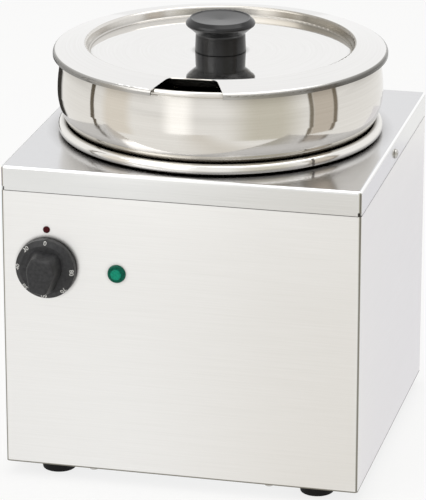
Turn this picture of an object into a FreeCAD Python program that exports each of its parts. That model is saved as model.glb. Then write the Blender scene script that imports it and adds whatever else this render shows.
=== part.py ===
import FreeCAD, Part
import math
import operator
import os
import Sketcher

# Soup kettle: a square stainless housing with a water well in its top, a round pot
# that hangs in the well by its head, a lift-off lid with a ladle notch, and a
# thermostat behind the front panel. Millimetres, +Z up, the front faces -Y, and
# the origin lies on the floor at the middle of the four feet.

Vector = FreeCAD.Vector
doc = FreeCAD.newDocument("SoupKettle")

# Driving dimensions
SIZES = {
    # housing
    "case_width": "270", "case_depth": "260", "case_height": "234", "sheet": "1",
    "bend": "2.5", "flange": "18.5", "seam_gap": "0.5", "lip_overlap": "8", "relief": "2.6",
    "return_width": "16", "fold_clear": "0.5", "plate_fit": "0.3", "rear_screw_inset": "30",
    "foot_height": "10.5", "foot_top_r": "14", "foot_bottom_r": "12.5", "foot_edge": "1",
    "foot_inset_x": "35", "foot_inset_y": "23", "foot_recess_r": "5.5", "foot_recess": "6",
    # water well and its heater
    "bead_r": "4.3", "bead_inset": "11.2", "well_sheet": "0.8", "well_depth": "152",
    "well_corner": "14", "cover_fit": "0.7", "heater_inset": "18.5", "heater_plate": "3",
    "ring_inset": "24", "heater_tube_r": "4", "heater_gap_deg": "36", "heater_leg": "26",
    "clamp_width": "24", "clamp_sheet": "2", "clamp_corner": "4", "stud_r": "3", "stud_fit": "0.2",
    "cutout_r": "11", "cutout_height": "12", "cutout_offset": "42",
    # pot
    "pot_sheet": "0.8", "pot_fit": "1.9", "pot_clear_below": "11", "pot_corner": "14",
    "head_step": "4.4", "belly_r": "42", "shoulder_r": "97", "rim_r": "2.2", "rim_height": "63.4",
    "neck_rise": "1.2", "seat_gap": "0.3",
    # lid
    "lid_sheet": "0.8", "lid_over": "3.2", "lid_skirt": "3.9", "lid_rise": "4.8", "lid_band": "25.2",
    "recess_slant": "1.8", "panel_drop": "7.2", "lid_edge_r": "3", "lid_bend": "1.4",
    "notch_inner": "36", "notch_outer": "57", "notch_depth": "24", "notch_corner": "6",
    "lid_turn_deg": "2",
    # lid knob
    "knob_base_r": "19.3", "knob_waist_r": "18.7", "knob_waist": "14", "knob_neck_bend": "2.5",
    "knob_wide_r": "26.7", "knob_wide": "20.8", "knob_wide_edge": "1.6", "knob_bevel": "1.4",
    "knob_bevel_rise": "2.2", "knob_lip_r": "22.6", "knob_lip": "1.6", "knob_lip_drop": "0.8",
    "knob_height": "25.6", "knob_dish": "2.2", "knob_screw_r": "2.5", "knob_screw_grip": "14",
    "knob_screw_spare": "1", "knob_washer_r": "9", "knob_washer": "1.2",
    # controls
    "dial_x": "34.5", "dial_drop": "76", "dial_r": "23", "dial_skirt": "7", "dial_bevel": "2.2",
    "dial_bevel_width": "4.4", "dial_draft": "0.5", "dial_web": "1", "dial_gap": "1.2",
    "grip_wide": "14.4", "grip_wide_up": "2", "grip_wide_bend": "13", "grip_shoulder": "9.6",
    "grip_up": "15.6", "grip_dip": "1.9", "grip_dip_bend": "14", "grip_bend": "6.4", "grip_tail": "8.6",
    "grip_down": "18.2", "grip_taper_deg": "13", "grip_turn_deg": "8", "grip_height": "12.5",
    "grip_round": "1.6",
    "shaft_r": "3", "shaft_fit": "0.05", "shaft_in_dial": "12", "shaft_in_body": "14",
    "bushing_r": "5", "body_width": "42", "body_height": "34", "body_depth": "28", "body_corner": "2",
    "fixing_pitch": "28", "fixing_r": "2", "capillary_r": "1", "capillary_bend": "8",
    "capillary_x": "12", "capillary_rise": "8", "bulb_r": "3", "bulb_up": "5", "bulb_lead": "18",
    "clip_sheet": "0.9", "clip_height": "8",
    "lamp_x": "87.6", "lamp_drop": "77.2", "lamp_r": "7", "lamp_dome_r": "4.2", "lamp_flange": "2",
    "lamp_draft": "0.6", "lamp_dome": "1.6", "lamp_dome_edge": "1.1", "lamp_barrel_r": "4.6",
    "lamp_depth": "15", "lamp_clip_r": "7.5", "lamp_clip": "1",
    "pip_r": "2.6", "pip_height": "1", "pip_stem_r": "1.4", "pip_rise": "29",
    # supply and fasteners
    "gland_x": "78", "gland_z": "34", "gland_thread_r": "8", "gland_bore_r": "4", "gland_hex_r": "12.5",
    "gland_flange": "7", "gland_cap": "13.7", "gland_cap_r": "10.5", "gland_nut": "5", "gland_spare": "2",
    "gland_nose": "2", "gland_nose_edge": "1.5", "block_length": "46", "block_width": "20",
    "block_height": "17", "block_corner": "1.5", "block_well_r": "2.2",
    "hole_fit": "0.15", "screw_r": "1.9", "screw_head_r": "3.6", "screw_head": "2.2", "screw_length": "9",
    "side_screw_drop": "11", "vent_length": "34", "vent_width": "3.5", "vent_pitch": "9", "soft_edge": "0.6",
}
VENTS = 11
# Proportions of the fasteners, as shares of their shank or head
NUT_REACH, NUT_HEIGHT = 2.1, 1.6
HEAD_ROUND, POINT = 0.7, 0.25
LARGE_HEAD = 1.4

sheet = doc.addObject("Spreadsheet::Sheet", "Sizes")
for row, (alias, number) in enumerate(SIZES.items(), 1):
    sheet.set(f"A{row}", alias.replace("_", " "))
    sheet.set(f"B{row}", number)
    sheet.setAlias(f"B{row}", alias)
doc.recompute()


class Size:
    """A length that carries its value and the formula that gives it."""

    def __init__(self, value, formula):
        self.value = value
        self.formula = formula

    def __add__(self, other):
        return combine(self, "+", other)

    def __radd__(self, other):
        return combine(other, "+", self)

    def __sub__(self, other):
        return combine(self, "-", other)

    def __rsub__(self, other):
        return combine(other, "-", self)

    def __mul__(self, other):
        return combine(self, "*", other)

    def __rmul__(self, other):
        return combine(other, "*", self)

    def __truediv__(self, other):
        return combine(self, "/", other)

    def __neg__(self):
        return combine(0, "-", self)


SIGNS = {"+": operator.add, "-": operator.sub, "*": operator.mul, "/": operator.truediv}


def as_size(number):
    return number if isinstance(number, Size) else Size(float(number), f"({float(number)})")


def combine(a, sign, b):
    a, b = as_size(a), as_size(b)
    return Size(SIGNS[sign](a.value, b.value), f"({a.formula} {sign} {b.formula})")


def root(a):
    return Size(math.sqrt(a.value), f"sqrt({a.formula})")


def lesser(a, b):
    return Size(min(a.value, b.value), f"min({a.formula}; {b.formula})")


def size(alias):
    return Size(float(sheet.get(alias)), f"Sizes.{alias}")


def bind(thing, name, amount):
    thing.setExpression(name, as_size(amount).formula)


# Sketch helpers. A corner is (x, y), or (x, y, r) where an arc rounds it.

class About:
    """Makes the side between two corners an arc about a centre."""

    def __init__(self, x, y, left):
        self.x, self.y, self.left = as_size(x), as_size(y), left
        self.spot = Vector(self.x.value, self.y.value, 0)


class Drawing:
    """A sketch whose lines, rules and sizes are gathered first and then set together."""

    def __init__(self, body, name, plane, lift):
        self.body = body
        self.sketch = body.newObject("Sketcher::SketchObject", name)
        base = next(o for o in body.Origin.OriginFeatures if o.Role == plane)
        self.sketch.AttachmentSupport = [(base, "")]
        self.sketch.MapMode = "FlatFace"
        bind(self.sketch, ".AttachmentOffset.Base.z", lift)
        self.lines, self.marks, self.rules, self.sizes = [], [], [], {}

    def add(self, line):
        self.lines.append(line)
        return len(self.lines) - 1

    def mark(self, spot):
        """A construction point."""
        self.marks.append(self.add(Part.Point(spot)))
        return self.marks[-1]

    def rule(self, *words):
        self.rules.append(Sketcher.Constraint(*words))

    def dimension(self, kind, where, amount):
        amount = as_size(amount)
        self.sizes[len(self.rules)] = amount
        self.rule(kind, *where, amount.value)

    def pin_point(self, where, x, y):
        for kind, amount in (("DistanceX", x), ("DistanceY", y)):
            if amount is not None:
                self.dimension(kind, (-1, 1, *where), amount)

    def settle(self):
        self.sketch.addGeometry(self.lines, False)
        for number in self.marks:
            self.sketch.setConstruction(number, True)
        self.sketch.addConstraint(self.rules)
        for number, amount in self.sizes.items():
            bind(self.sketch, f"Constraints[{number}]", amount)
        return self.sketch


def sketch(body, name, plane="XY_Plane", lift=0):
    return Drawing(body, name, plane, lift)


def add_arc(drawing, centre, start, end, left):
    """Returns the arc with its start and end positions in the direction of travel."""
    first, last = (start, end) if left else (end, start)
    angles = [math.atan2(p.y - centre.y, p.x - centre.x) for p in (first, last)]
    if angles[1] <= angles[0]:
        angles[1] += 2 * math.pi
    ring = Part.Circle(centre, Vector(0, 0, 1), (start - centre).Length)
    line = drawing.add(Part.ArcOfCircle(ring, *angles))
    return (line, 1, 2) if left else (line, 2, 1)


def round_off(drawing, corner, spot, before, after, arrive, leave):
    """Rounds one corner with an arc that is tangent to both sides."""
    inward = ((arrive + leave) * 0.5 - spot).normalize()
    turn = (spot - arrive).cross(leave - spot).z
    radius = as_size(corner[2])
    half = (arrive - spot).getAngle(leave - spot) / 2
    arc = add_arc(drawing, spot + inward * (radius.value / math.sin(half)), arrive, leave, turn > 0)
    drawing.rule("Tangent", before[0], before[2], arc[0], arc[1])
    drawing.rule("Tangent", arc[0], arc[2], after[0], after[1])
    drawing.dimension("Radius", (arc[0],), radius)
    point = drawing.mark(spot)
    for side in (before, after):
        drawing.rule("PointOnObject", point, 1, side[0])
    drawing.pin_point((point, 1), corner[0], corner[1])


def draw(drawing, path):
    """Draws one closed outline through corners, with About arcs between some of them."""
    corners = [item for item in path if not isinstance(item, About)]
    arcs = {}
    passed = -1
    for item in path:
        if isinstance(item, About):
            arcs[passed] = item
        else:
            passed += 1
    count = len(corners)
    spots = [Vector(as_size(c[0]).value, as_size(c[1]).value, 0) for c in corners]
    arrive, leave = list(spots), list(spots)
    for i, corner in enumerate(corners):
        if len(corner) == 3:
            back = (spots[i - 1] - spots[i]).normalize()
            ahead = (spots[(i + 1) % count] - spots[i]).normalize()
            reach = as_size(corner[2]).value / math.tan(back.getAngle(ahead) / 2)
            arrive[i] = spots[i] + back * reach
            leave[i] = spots[i] + ahead * reach
    sides = []
    for i in range(count):
        ends = leave[i], arrive[(i + 1) % count]
        if i in arcs:
            sides.append(add_arc(drawing, arcs[i].spot, *ends, arcs[i].left))
            drawing.pin_point((sides[i][0], 3), arcs[i].x, arcs[i].y)
        else:
            sides.append((drawing.add(Part.LineSegment(*ends)), 1, 2))
    for i, corner in enumerate(corners):
        before, after = sides[i - 1], sides[i]
        if len(corner) == 3:
            round_off(drawing, corner, spots[i], before, after, arrive[i], leave[i])
            continue
        drawing.rule("Coincident", before[0], before[2], after[0], after[1])
        x, y = corner
        arc = arcs.get((i - 1) % count)
        if arc:
            away = spots[i] - arc.spot
            x, y = (None, y) if abs(away.x) > abs(away.y) else (x, None)
        drawing.pin_point((after[0], after[1]), x, y)


def draw_circle(drawing, x, y, r):
    x, y, r = as_size(x), as_size(y), as_size(r)
    line = drawing.add(Part.Circle(Vector(x.value, y.value, 0), Vector(0, 0, 1), r.value))
    drawing.dimension("Radius", (line,), r)
    drawing.pin_point((line, 3), x, y)


def draw_plate(drawing, x0, y0, x1, y1, r):
    draw(drawing, [(x0, y0, r), (x1, y0, r), (x1, y1, r), (x0, y1, r)])


# Feature helpers

pieces = []


def new_body(label):
    body = doc.addObject("PartDesign::Body", label)
    body.Label = label
    return body


def new_piece(label):
    body = new_body(label)
    pieces.append(body)
    return body


def new_group(label, bodies):
    group = doc.addObject("Part::Compound", label)
    group.Label = label
    group.Links = bodies
    pieces.append(group)


def place(thing, x=0, y=0, z=0, axis=Vector(0, 0, 1), degrees=0):
    thing.Placement = FreeCAD.Placement(Vector(), FreeCAD.Rotation(axis, degrees))
    for name, amount in zip("xyz", (x, y, z)):
        bind(thing, f".Placement.Base.{name}", amount)


def pad(drawing, length):
    feature = drawing.body.newObject("PartDesign::Pad", "Pad")
    feature.Profile = drawing.settle()
    bind(feature, "Length", length)
    doc.recompute()
    return feature


def pocket(drawing, length, forward=False):
    """Cuts against the sketch's normal, or along it with forward."""
    body = drawing.body
    before = body.Shape.Volume
    feature = body.newObject("PartDesign::Pocket", "Pocket")
    feature.Profile = drawing.settle()
    feature.Reversed = forward
    bind(feature, "Length", length)
    doc.recompute()
    if not body.Shape.Volume < before:
        raise RuntimeError(f"{body.Label}: a pocket cuts nothing")
    return feature


def row_of(cut):
    """Repeats a slot along X."""
    body = cut.getParentGeoFeatureGroup()
    row = body.newObject("PartDesign::LinearPattern", "Row")
    row.Originals = [cut]
    row.Direction = (cut.Profile[0], ["H_Axis"])
    row.Occurrences = VENTS
    bind(row, "Length", size("vent_pitch") * (VENTS - 1))
    body.Tip = row
    doc.recompute()


def revolve(drawing, degrees=360):
    feature = drawing.body.newObject("PartDesign::Revolution", "Revolution")
    profile = drawing.settle()
    feature.Profile = profile
    feature.ReferenceAxis = (profile, ["V_Axis"])
    bind(feature, "Angle", degrees)
    doc.recompute()
    return feature


def turned(body, path):
    """Turns a profile of (radius, height) corners about the body's own Z axis."""
    profile = sketch(body, "Profile", "XZ_Plane")
    draw(profile, path)
    return revolve(profile)


def level_edges(feature, height):
    """Names of the edges that lie flat at a height."""
    names = []
    for number, edge in enumerate(feature.Shape.Edges, 1):
        box = edge.BoundBox
        if abs(box.ZMin - height.value) < 1e-4 and abs(box.ZMax - height.value) < 1e-4:
            names.append(f"Edge{number}")
    return names


def fillet(feature, edges, radius):
    body = feature.getParentGeoFeatureGroup()
    rounded = body.newObject("PartDesign::Fillet", "Fillet")
    rounded.Base = (feature, edges)
    bind(rounded, "Radius", radius)
    doc.recompute()
    return rounded


FACE_FRONT = dict(axis=Vector(1, 0, 0), degrees=90)
FACE_REAR = dict(axis=Vector(1, 0, 0), degrees=-90)
FACE_DOWN = dict(axis=Vector(1, 0, 0), degrees=180)
FACE_RIGHT = dict(axis=Vector(0, 1, 0), degrees=90)
FACE_LEFT = dict(axis=Vector(0, 1, 0), degrees=-90)


# Heights and half sizes that several pieces share
t = size("sheet")
half_w = size("case_width") / 2
half_d = size("case_depth") / 2
foot = size("foot_height")
top = foot + size("case_height")
seam = top - size("flange")
bend = size("bend")
inside_bend = bend - t
rear = half_d - t
floor_top = foot + t + t
lip_top = top - bend - size("seam_gap")
hole_r = size("screw_r") + size("hole_fit")
head = size("screw_head")
soft = size("soft_edge")
return_x = half_w - size("return_width")
fold = size("foot_inset_y") - size("foot_top_r") - size("fold_clear")
dial_x = size("dial_x") - half_w
dial_z = top - size("dial_drop")
lamp_x = size("lamp_x") - half_w
lamp_z = top - size("lamp_drop")
pip_z = dial_z + size("pip_rise")
gland_x, gland_z = size("gland_x"), size("gland_z")
side_screw_z = top - size("side_screw_drop")
foot_x = half_w - size("foot_inset_x")
foot_y = half_d - size("foot_inset_y")
fixing = size("fixing_pitch") / 2
block_y = half_d - fold - size("block_width") * 1.5
earth_x = size("block_length")
return_screw_x = half_w - size("return_width") / 2
rear_screw_zs = [foot + size("rear_screw_inset"), (foot + seam) / 2, seam - size("rear_screw_inset")]
rear_cover_screw_x = half_w / 2
fold_screw_y = half_d - fold / 2
fold_screw_x = half_w - fold / 2
floor_screws = [(half_w / 2, -fold_screw_y), (-half_w / 2, -fold_screw_y),
                (half_w / 2, fold_screw_y - t), (-half_w / 2, fold_screw_y - t),
                (fold_screw_x, 0), (-fold_screw_x, 0)]
feet = {"front_left": (-foot_x, -foot_y), "front_right": (foot_x, -foot_y),
        "rear_left": (-foot_x, foot_y), "rear_right": (foot_x, foot_y)}


# Housing: one sheet folded round the front and both sides, with returns at the rear
# and under the floor, and a lip set in by one sheet that the cover closes over.

def folded_plan(inset):
    x, y = half_w - inset, half_d - inset
    outer, inner = bend - inset, bend - inset - t
    right = [(x, -y, outer), (x, rear, outer), (return_x, rear), (return_x, rear - t),
             (x - t, rear - t, inner), (x - t, t - y, inner)]
    return right + [(-px, py, *r) for px, py, *r in reversed(right)]


def make_wrap():
    body = new_piece("housing_wrap")
    wall = sketch(body, "Wall", lift=foot)
    draw(wall, folded_plan(0))
    pad(wall, seam - size("seam_gap") - foot)
    lip_start = seam - size("lip_overlap")
    lip = sketch(body, "Lip", lift=lip_start)
    draw(lip, folded_plan(t))
    pad(lip, lip_top - lip_start)
    under = sketch(body, "Fold", lift=foot)
    x, y = half_w, half_d
    draw(under, [(-x, -y, bend), (x, -y, bend), (x, rear, bend), (x - fold, rear), (x - fold, fold - y),
                 (fold - x, fold - y), (fold - x, rear), (-x, rear, bend)])
    pad(under, t)
    front = sketch(body, "FrontHoles", "XZ_Plane", half_d + t)
    draw_circle(front, dial_x, dial_z, size("bushing_r") + size("hole_fit"))
    for side in (-fixing, fixing):
        draw_circle(front, dial_x + side, dial_z, size("fixing_r") + size("hole_fit"))
    draw_circle(front, lamp_x, lamp_z, size("lamp_barrel_r") + size("hole_fit"))
    draw_circle(front, dial_x, pip_z, size("pip_stem_r") + size("hole_fit"))
    pocket(front, t * 3)
    for side in (half_w, t * 3 - half_w):
        holes = sketch(body, "SideHole", "YZ_Plane", side)
        draw_circle(holes, 0, side_screw_z, hole_r)
        pocket(holes, t * 3)
    back = sketch(body, "RearHoles", "XZ_Plane", -half_d)
    for z in rear_screw_zs:
        for x in (-return_screw_x, return_screw_x):
            draw_circle(back, x, z, hole_r)
    pocket(back, t * 3, forward=True)
    below = sketch(body, "FoldHoles")
    for x, y in floor_screws:
        if not is_rear(y):
            draw_circle(below, x, y, hole_r)
    pocket(below, foot + t, forward=True)


def is_rear(y):
    return as_size(y).value > half_d.value / 2


def draw_vent(drawing, middle):
    """The leftmost of a row of slots, whose length is centred on a height."""
    x = -size("vent_pitch") * (VENTS - 1) / 2
    reach, wide = size("vent_length") / 2, size("vent_width") / 2
    left, right, low, high = x - wide, x + wide, middle - reach, middle + reach
    draw(drawing, [(left, low), About(x, low, True), (right, low), (right, high), About(x, high, True),
                   (left, high)])


def make_rear_panel():
    body = new_piece("rear_panel")
    wall = sketch(body, "Wall", "XZ_Plane", -half_d)
    edge = half_w - t / 2
    draw_plate(wall, -edge, foot, edge, seam - size("seam_gap"), t)
    pad(wall, t)
    lip = sketch(body, "Lip", "XZ_Plane", t - half_d)
    lip_x = return_x - t
    draw_plate(lip, -lip_x, seam - size("lip_overlap"), lip_x, lip_top, t)
    pad(lip, t)
    under = sketch(body, "Fold", lift=foot)
    fold_x = return_x - t
    draw_plate(under, -fold_x, half_d - fold, fold_x, half_d, t / 4)
    pad(under, t)
    holes = sketch(body, "Holes", "XZ_Plane", -half_d - t)
    for z in rear_screw_zs:
        for x in (-return_screw_x, return_screw_x):
            draw_circle(holes, x, z, hole_r)
    for x in (-rear_cover_screw_x, rear_cover_screw_x):
        draw_circle(holes, x, side_screw_z, hole_r)
    draw_circle(holes, gland_x, gland_z, size("gland_thread_r") + size("hole_fit"))
    pocket(holes, t * 4, forward=True)
    vents = sketch(body, "Vents", "XZ_Plane", -half_d - t)
    draw_vent(vents, seam - size("lip_overlap") - size("vent_length"))
    row_of(pocket(vents, t * 4, forward=True))
    below = sketch(body, "FoldHoles")
    for x, y in floor_screws:
        if is_rear(y):
            draw_circle(below, x, y, hole_r)
    pocket(below, foot + t, forward=True)


def make_base_plate():
    body = new_piece("base_plate")
    plan = sketch(body, "Plan", lift=foot + t)
    fit = size("plate_fit")
    x, front, back = half_w - t - fit, t + fit - half_d, rear - t - fit
    draw_plate(plan, -x, front, x, back, bend)
    pad(plan, t)
    holes = sketch(body, "Holes", lift=foot)
    for hole_x, hole_y in list(feet.values()) + floor_screws + [(earth_x, block_y)]:
        draw_circle(holes, hole_x, hole_y, hole_r)
    pocket(holes, t * 3, forward=True)
    for middle in (-size("vent_length"), size("vent_length")):
        vents = sketch(body, "Vents", lift=foot)
        draw_vent(vents, middle)
        row_of(pocket(vents, t * 3, forward=True))


def make_top_cover():
    body = new_piece("top_cover")
    plan = sketch(body, "Plan", lift=seam)
    draw_plate(plan, -half_w, -half_d, half_w, half_d, bend)
    block = pad(plan, size("flange"))
    fillet(block, level_edges(block, top), bend)
    inside = sketch(body, "Inside", lift=seam)
    x, y = half_w - t, half_d - t
    draw_plate(inside, -x, -y, x, y, inside_bend)
    tray = pocket(inside, size("flange") - t, forward=True)
    fillet(tray, level_edges(tray, top - t), inside_bend)
    opening = sketch(body, "Opening", lift=top + t)
    draw_circle(opening, 0, 0, cover_opening_r)
    pocket(opening, t * 3)
    corners = sketch(body, "CornerRelief", lift=seam)
    cut = size("relief")
    for x in (-half_w, half_w - cut):
        for y in (-half_d, half_d - cut):
            draw(corners, [(x, y), (x + cut, y), (x + cut, y + cut), (x, y + cut)])
    pocket(corners, cut, forward=True)
    for side in (half_w + t, t * 2 - half_w):
        holes = sketch(body, "SideHole", "YZ_Plane", side)
        draw_circle(holes, 0, side_screw_z, hole_r)
        pocket(holes, t * 3)
    holes = sketch(body, "RearHoles", "XZ_Plane", -half_d - t)
    for x in (-rear_cover_screw_x, rear_cover_screw_x):
        draw_circle(holes, x, side_screw_z, hole_r)
    pocket(holes, t * 3, forward=True)


def make_feet():
    recess, hole = size("foot_recess"), hole_r
    tall = foot + t
    for corner, (x, y) in feet.items():
        body = new_piece(f"foot_{corner}")
        turned(body, [(hole, recess), (size("foot_recess_r"), recess), (size("foot_recess_r"), 0),
                      (size("foot_bottom_r"), 0, size("foot_edge")), (size("foot_top_r"), tall), (hole, tall)])
        place(body, x, y)


# Water well: a drawn basin whose rim is curled outward into a round bead that
# stands on the cover. The pot's belly rests on the inner side of that bead.
bead_r = size("bead_r")
bead_x = lesser(half_w, half_d) - size("bead_inset")
bead_z = top + bead_r
well_t = size("well_sheet")
well_in = bead_x - bead_r
well_out = well_in + well_t
well_floor = top - size("well_depth")
cover_opening_r = well_out + size("cover_fit")


def make_well():
    body = new_piece("water_well")
    curl = bead_r - well_t
    low = well_floor - well_t
    turned(body, [(0, low), (well_out, low, size("well_corner") + well_t), (well_out, bead_z),
                  About(bead_x, bead_z, False), (bead_x, bead_z - curl), (bead_x, bead_z - bead_r),
                  About(bead_x, bead_z, True), (well_in, bead_z),
                  (well_in, well_floor, size("well_corner")), (0, well_floor)])


# Pot: straight below, a belly arc that sits on the bead, a shoulder arc up to the
# neck and a closed bead at the rim.
pot_t = size("pot_sheet")
pot_r = well_in - size("pot_fit")
head_r = bead_x + size("head_step")
belly, shoulder = size("belly_r"), size("shoulder_r")
belly_x, shoulder_x = head_r - belly, head_r - shoulder
touch = belly + bead_r + size("seat_gap")
belly_z = bead_z + root(touch * touch - (bead_x - belly_x) * (bead_x - belly_x))
rim_r = size("rim_r")
rim_top = top + size("rim_height")
rim_z = rim_top - rim_r
neck_z = rim_z - root(rim_r * rim_r - size("neck_rise") * size("neck_rise"))
neck_r = shoulder_x + root(shoulder * shoulder - (neck_z - belly_z) * (neck_z - belly_z))
rim_x = neck_r + size("neck_rise")


def make_pot():
    body = new_piece("pot")
    low = well_floor + size("pot_clear_below")
    corner = size("pot_corner")

    def join_z(inset):
        arc, out = belly - inset, pot_r - inset - belly_x
        return belly_z - root(arc * arc - out * out)

    inner_neck = neck_r - pot_t
    inner_arc = shoulder - pot_t
    inner_neck_z = belly_z + root(inner_arc * inner_arc - (inner_neck - shoulder_x) * (inner_neck - shoulder_x))
    rim_side = rim_x - inner_neck
    belly_left, belly_right = About(belly_x, belly_z, True), About(belly_x, belly_z, False)
    turned(body, [(0, low), (pot_r, low, corner + pot_t), (pot_r, join_z(0)), belly_left, (head_r, belly_z),
                  About(shoulder_x, belly_z, True), (neck_r, neck_z),
                  About(rim_x, rim_z, True), (inner_neck, rim_z + root(rim_r * rim_r - rim_side * rim_side)),
                  (inner_neck, inner_neck_z), About(shoulder_x, belly_z, False), (head_r - pot_t, belly_z),
                  belly_right, (pot_r - pot_t, join_z(pot_t)), (pot_r - pot_t, low + pot_t, corner),
                  (0, low + pot_t)])


# Lid: a skirted disc that rests on the pot's rim, with a raised annulus round a
# flat panel and a notch for the ladle's handle.
lid_t = size("lid_sheet")
lid_r = head_r + size("lid_over")
crest_r = lid_r - size("lid_band")
panel_r = crest_r - size("recess_slant")
lid_slope = size("lid_rise") / size("lid_band")
lid_edge_z = rim_top + size("seat_gap") + lid_t - lid_slope * (lid_r - rim_x) + size("seat_gap") * lid_slope
crest_z = lid_edge_z + size("lid_rise")
panel_z = crest_z - size("panel_drop")
lid_turn = float(sheet.get("lid_turn_deg"))


def make_lid():
    body = new_piece("lid")
    hole, edge, turn = size("knob_screw_r") + size("hole_fit"), size("lid_edge_r"), size("lid_bend")
    skirt_z = lid_edge_z - size("lid_skirt")
    turned(body, [
        (hole, panel_z), (panel_r, panel_z, turn), (crest_r, crest_z, turn + lid_t),
        (lid_r, lid_edge_z, edge), (lid_r, skirt_z), (lid_r - lid_t, skirt_z),
        (lid_r - lid_t, lid_edge_z - lid_t, edge - lid_t), (crest_r + lid_t / 2, crest_z - lid_t, turn),
        (panel_r + lid_t / 2, panel_z - lid_t, turn + lid_t), (hole, panel_z - lid_t)])
    notch = sketch(body, "Notch", lift=crest_z + lid_t)
    inner, outer = size("notch_inner") / 2, size("notch_outer") / 2
    near, far = size("notch_depth") - lid_r, -lid_r - lid_t
    flare = size("notch_corner")
    draw(notch, [(-inner, near, flare), (-outer, far), (outer, far), (inner, near, flare)])
    pocket(notch, crest_z - skirt_z + lid_t * 2)
    place(body, degrees=lid_turn)


def make_lid_knob():
    body = new_piece("lid_knob")
    base, waist, wide, lip = (size(f"knob_{name}_r") for name in ("base", "waist", "wide", "lip"))
    screw, grip = size("knob_screw_r"), size("knob_screw_grip")
    tall = size("knob_height")
    widest, lip_in = size("knob_wide"), lip - size("knob_lip")
    turned(body, [(screw, 0), (base, 0, soft), (waist, size("knob_waist"), size("knob_neck_bend")),
                  (wide, widest, size("knob_wide_edge")),
                  (wide - size("knob_bevel"), widest + size("knob_bevel_rise"), soft), (lip, tall, soft),
                  (lip_in, tall - size("knob_lip_drop"), soft), (0, tall - size("knob_dish")),
                  (0, grip), (screw, grip)])
    place(body, z=panel_z)
    under = panel_z - lid_t
    washer = new_piece("lid_knob_washer")
    thick = size("knob_washer")
    hole = screw + size("hole_fit")
    turned(washer, [(hole, 0), (size("knob_washer_r"), 0, soft), (size("knob_washer_r"), thick), (hole, thick)])
    place(washer, z=under - thick)
    bolt = new_piece("lid_knob_screw")
    reach = grip + lid_t + thick - size("knob_screw_spare")
    make_screw(bolt, screw, reach, size("screw_head_r") * LARGE_HEAD, head * LARGE_HEAD)
    place(bolt, z=under - thick, **FACE_DOWN)


# Fasteners: a pan head stands above Z = 0 and the shank runs below it.

def make_screw(body, shank, length, head_r, head_height):
    return turned(body, [(0, -length), (shank, -length, shank * POINT), (shank, 0), (head_r, 0),
                         (head_r, head_height, head_height * HEAD_ROUND), (0, head_height)])


def screw_group(label, seats, length):
    """seats holds (x, y, z, facing) for each screw."""
    screws = []
    for x, y, z, facing in seats:
        body = new_body(f"{label}_body")
        make_screw(body, size("screw_r"), length, size("screw_head_r"), head)
        place(body, x, y, z, **facing)
        screws.append(body)
    new_group(label, screws)


def hex_corners(across_corner, r):
    """Corners of a hexagon with a circumscribed radius."""
    return [(across_corner * math.cos(math.radians(60 * i)), across_corner * math.sin(math.radians(60 * i)), r)
            for i in range(6)]


def make_nut(body, across_corner, bore, height):
    plan = sketch(body, "Plan")
    draw(plan, hex_corners(across_corner, soft))
    draw_circle(plan, 0, 0, bore)
    return pad(plan, height)


def make_fasteners():
    screw_group("cover_screws",
                [(half_w, 0, side_screw_z, FACE_RIGHT), (-half_w, 0, side_screw_z, FACE_LEFT),
                 (rear_cover_screw_x, half_d, side_screw_z, FACE_REAR),
                 (-rear_cover_screw_x, half_d, side_screw_z, FACE_REAR)], size("screw_length"))
    screw_group("rear_screws", [(x, half_d, z, FACE_REAR) for z in rear_screw_zs
                                for x in (-return_screw_x, return_screw_x)], size("screw_length"))
    screw_group("base_screws", [(x, y, foot, FACE_DOWN) for x, y in floor_screws], size("screw_length"))
    screw_group("foot_screws", [(x, y, size("foot_recess"), FACE_DOWN) for x, y in feet.values()],
                foot + t * 2 - size("foot_recess") + size("screw_length") / 2)
    nuts = []
    for x, y in feet.values():
        nut = new_body("foot_nut_body")
        make_nut(nut, size("screw_r") * NUT_REACH, hole_r, size("screw_r") * NUT_HEIGHT)
        place(nut, x, y, floor_top)
        nuts.append(nut)
    new_group("foot_nuts", nuts)


# Heater: an aluminium plate under the well, a bent tube element against it, a clamp
# bar and one central stud with its nut, and a cut-out on the plate.
heater_r = well_in - size("heater_inset")
ring_r = heater_r - size("ring_inset")
well_low = well_floor - well_t
plate_low = well_low - size("heater_plate")
tube_r = size("heater_tube_r")
tube_z = plate_low - tube_r
clamp_top = tube_z - tube_r
stud_low = clamp_top - size("clamp_sheet") - size("stud_r") * 3


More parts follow.
